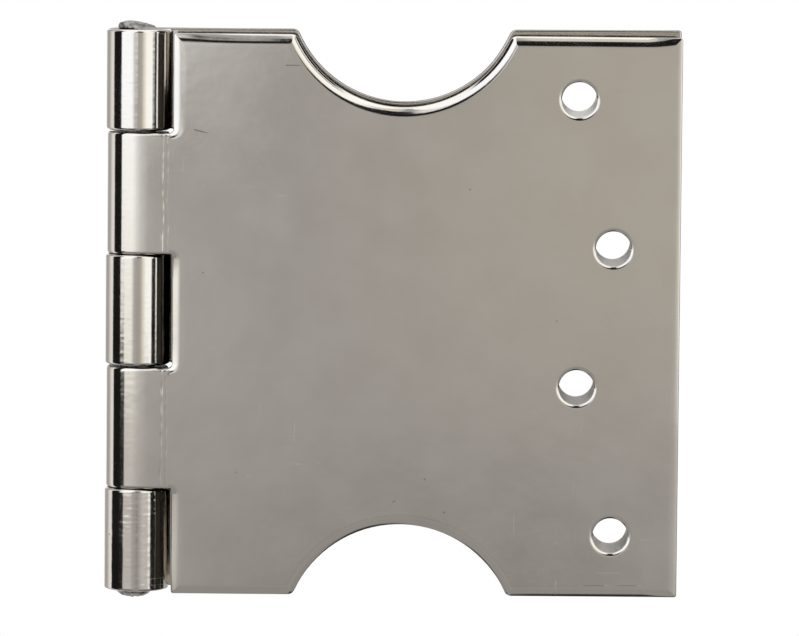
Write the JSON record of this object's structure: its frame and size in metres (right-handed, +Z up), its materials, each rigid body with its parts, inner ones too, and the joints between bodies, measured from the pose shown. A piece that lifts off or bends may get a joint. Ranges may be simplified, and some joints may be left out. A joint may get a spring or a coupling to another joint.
{
  "type": "parliament hinge",
  "caption": "Parliament hinge in bright plated sheet steel: flat leaves with round cut-outs above and below, staggered screw holes, and rolled knuckles on a peened pin.",
  "frame": {"origin": "on the frame leaf's outer (mounting) face, at mid height and midway between its columns of screw holes", "axes": "+Z up along the pin, +X from the pin towards the free edges of the closed leaves, +Y out of the frame leaf's mounting face"},
  "size_m": [0.1041, 0.0117, 0.1046],
  "materials": {
    "leaf_plating": "bright nickel plate on pressed sheet steel",
    "pin_plating": "nickel plate, rough where the ends are peened"
  },
  "bodies": {
    "frame_side": {"frame_leaf": "leaf_plating", "hinge_pin": "pin_plating"},
    "door_side": {"door_leaf": "leaf_plating"}
  },
  "joints": [
    {"name": "door_leaf_swing", "type": "hinge", "parent": "frame_side", "child": "door_side", "pos_m": [-0.0829, -0.00587, 0], "axis": [0, 0, -1], "range_deg": [-3.5, 270]}
  ]
}
